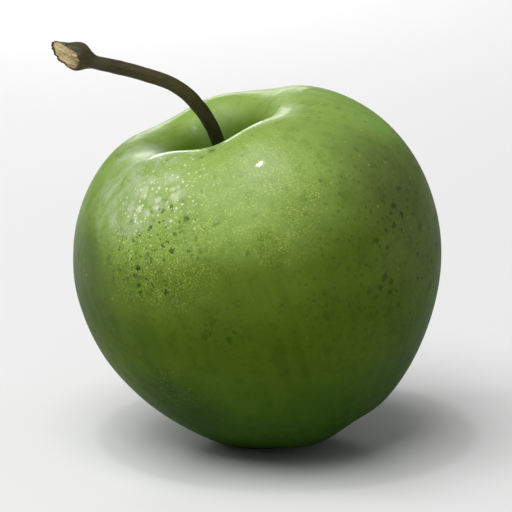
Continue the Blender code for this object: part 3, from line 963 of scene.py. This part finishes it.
def bark_material():
    """Dark olive bark with lengthwise fibres, and pale torn wood on the broken end."""
    graph = Graph("stem_bark")
    world = world_place(graph)
    along = graph.attribute("along")
    round_x, round_y = graph.attribute("round_x"), graph.attribute("round_y")
    wood = graph.attribute("wood")
    grain = graph.node("CombineXYZ", round_x, round_y, graph.product(along, 0.12)).outputs[0]
    fibres = graph.noise(grain, 0.22, 4.0, 0.65, 0.4)
    broad = graph.noise(grain, 0.9, 2.0)
    colour = graph.mix(graph.rise(fibres, 0.30, 0.72), BARK_DARK, BARK_LIGHT)
    colour = graph.mix(graph.product(graph.rise(broad, 0.4, 0.7), 0.5), colour, BARK_GREEN)
    # a painted highlight: an olive-brown band lighter along the middle of the stem
    olive = graph.product(graph.rise(along, 22.0, 30.0), graph.rise(along, 44.0, 36.0))
    colour = graph.mix(graph.product(olive, 0.5), colour, BARK_HIGHLIGHT_OLIVE)
    greener = graph.rise(along, 26.0, 14.0)
    colour = graph.mix(graph.product(greener, 0.6), colour, BARK_ROOT)
    knob = graph.rise(along, 43.0, 49.0)
    colour = graph.mix(graph.product(knob, 0.55), colour, BARK_KNOB)
    specks = graph.dots(graph.warp(world, 0.6, 0.5), 0.85, 0.9, 0.2, 0.6)
    colour = graph.mix(graph.product(specks, 0.22), colour, BARK_SPECK)
    pits = graph.rise(graph.noise(world, 0.5, 3.0, 0.6), 0.56, 0.70)
    colour = graph.mix(graph.product(pits, 0.35), colour, BARK_PIT)

    # the torn end is pale dry wood with darker fibres, and dark notches under its rim
    side, length = graph.attribute("face_side"), graph.attribute("face_length")
    strands = graph.node("CombineXYZ", side, graph.product(length, 0.16)).outputs[0]
    splinters = graph.noise(strands, 0.34, 3.0, 0.6, 0.2)
    pale = graph.ramp(
        splinters,
        (0.28, srgb(150, 120, 74)),
        (0.42, srgb(206, 182, 128)),
        (0.58, srgb(230, 210, 158)),
        (0.75, srgb(246, 232, 192)),
    )
    browned = graph.rise(length, 0.4, -2.6)
    stained = graph.product(browned, graph.rise(splinters, 0.6, 0.4), 0.6)
    pale = graph.mix(stained, pale, BROWNED_WOOD)
    notched = graph.math("SUBTRACT", graph.noise(strands, 0.22, 1.0), 0.5)
    ragged = graph.total(wood, graph.product(notched, 2.4))
    shown = graph.rise(ragged, 0.35, 0.55)
    graph.join(graph.shader.inputs["Base Color"], graph.mix(shown, colour, pale))

    graph.join(graph.shader.inputs["Roughness"], graph.total(graph.product(shown, 0.30), 0.52))
    graph.shader.inputs["Specular IOR Level"].default_value = 0.35
    relief = graph.bump(fibres, 0.25 * MM, graph.bump(graph.noise(world, 0.5, 3.0, 0.6), 0.12 * MM))
    relief = graph.bump(graph.product(splinters, shown), 0.35 * MM, relief)
    graph.join(graph.shader.inputs["Normal"], relief)
    return graph.material


DRY_BLOTCH = srgb(46, 36, 22)
DRY_DUST = srgb(168, 156, 128)


def dry_material(name, light, dark, strands):
    """Withered, papery tissue: fibres along the core, blotches and a rough, dusty face."""
    graph = Graph(name)
    own = own_place(graph)
    drawn = graph.node("Mapping", own)
    drawn.inputs["Scale"].default_value = (1.0, 1.0, strands)
    fibres = graph.noise(drawn.outputs[0], 0.30, 4.0, 0.6, 0.5)
    blotches = graph.noise(own, 1.3, 3.0, 0.6)
    colour = graph.mix(graph.rise(fibres, 0.35, 0.68), srgb(*dark), srgb(*light))
    colour = graph.mix(graph.product(graph.rise(blotches, 0.5, 0.7), 0.6), colour, DRY_BLOTCH)
    dust = graph.rise(graph.noise(own, 0.25, 2.0, 0.6), 0.58, 0.75)
    colour = graph.mix(graph.product(dust, 0.45), colour, DRY_DUST)
    graph.join(graph.shader.inputs["Base Color"], colour)
    rough = graph.node("MapRange", blotches)
    rough.inputs["To Min"].default_value = 0.68
    rough.inputs["To Max"].default_value = 0.92
    graph.join(graph.shader.inputs["Roughness"], rough.outputs["Result"])
    graph.shader.inputs["Specular IOR Level"].default_value = 0.25
    graph.join(graph.shader.inputs["Normal"], graph.bump(fibres, 0.20 * MM))
    return graph.material


# ---------------------------------------------------------------- stage

LENS = 205.9
SENSOR = 36.0
CAMERA_ELEVATION = math.radians(14)
CAMERA_DISTANCE = 0.6
AIM = Vector((-0.0002, 0.0, 0.034))
AIM_RISE = 0.00533
LIGHT_CENTRE = Vector((0, 0, 0.037))
FLOOR_HALF = 6.0
WORLD_STRENGTH = 0.15


def add_camera():
    """The camera in front of the apple, looking a little down on it."""
    data = bpy.data.cameras.new("camera")
    data.lens = LENS
    data.sensor_width = SENSOR
    data.clip_start = 0.05
    data.clip_end = 20.0
    camera = bpy.data.objects.new("camera", data)
    bpy.context.scene.collection.objects.link(camera)
    back = Vector((0, -math.cos(CAMERA_ELEVATION), math.sin(CAMERA_ELEVATION)))
    up = Vector((0, math.sin(CAMERA_ELEVATION), math.cos(CAMERA_ELEVATION)))
    camera.location = AIM + up * AIM_RISE + back * CAMERA_DISTANCE
    camera.rotation_euler = (math.pi / 2 - CAMERA_ELEVATION, 0, 0)
    bpy.context.scene.camera = camera


def add_light(name, toward, distance, width, height, power, colour=(1, 1, 1)):
    """A soft light in a direction from the apple, facing it."""
    data = bpy.data.lights.new(name, "AREA")
    data.shape = "RECTANGLE"
    data.size = width
    data.size_y = height
    data.energy = power
    data.color = colour
    light = bpy.data.objects.new(name, data)
    bpy.context.scene.collection.objects.link(light)
    away = Vector(toward).normalized()
    light.location = LIGHT_CENTRE + away * distance
    light.rotation_mode = "QUATERNION"
    light.rotation_quaternion = away.to_track_quat("Z", "Y")


def add_floor():
    """A plain pale floor at z = 0."""
    graph = Graph("pale_floor")
    where = graph.node("TexCoord").outputs["Object"]
    shade = graph.mix(graph.noise(where, 0.4, 2.0), srgb(236, 236, 236), srgb(240, 240, 240))
    graph.join(graph.shader.inputs["Base Color"], shade)
    graph.shader.inputs["Roughness"].default_value = 0.9
    graph.shader.inputs["Specular IOR Level"].default_value = 0.1
    mesh = bpy.data.meshes.new("floor")
    half = FLOOR_HALF
    corners = [(-half, -half, 0), (half, -half, 0), (half, half, 0), (-half, half, 0)]
    mesh.from_pydata(corners, [], [(0, 1, 2, 3)])
    mesh.materials.append(graph.material)
    floor = bpy.data.objects.new("floor", mesh)
    bpy.context.scene.collection.objects.link(floor)


def add_world():
    """Faint even light from all round."""
    world = bpy.data.worlds.new("studio")
    world.use_nodes = True
    background = world.node_tree.nodes["Background"]
    background.inputs["Color"].default_value = (1.0, 1.0, 1.0, 1.0)
    background.inputs["Strength"].default_value = WORLD_STRENGTH
    bpy.context.scene.world = world


add_camera()
add_world()
add_floor()
# name, direction, distance, width and height in metres, power in watts
add_light("key", (-0.25, -0.30, 0.92), 3.0, 2.6, 2.6, 80.0)
add_light("top_spark", (-0.15, -0.13, 0.98), 1.0, 0.065, 0.065, 0.75)
add_light("left_window", (-0.81, 0.05, 0.59), 0.8, 0.12, 0.40, 0.8)
add_light("back_strip", (-0.14, 0.93, 0.30), 0.8, 0.3, 0.12, 1.0)
bpy.context.scene.view_settings.view_transform = "Standard"

skin = skin_material()
add_piece("apple_fruit", fruit_mesh(), skin, "fruit")
add_piece("apple_stem", stem_mesh(), bark_material(), "stem")
papery = dry_material("dry_sepal", (132, 110, 72), (74, 58, 34), 0.30)
for number in range(SEPALS):
    add_piece(f"dry_sepal_{number + 1}", sepal_mesh(number), papery, f"sepal_{number + 1}")
threads = dry_material("dry_thread", (96, 74, 44), (44, 32, 20), 0.25)
add_piece("dry_stamens", stamens_mesh(), threads, None)

bpy.context.view_layer.update()
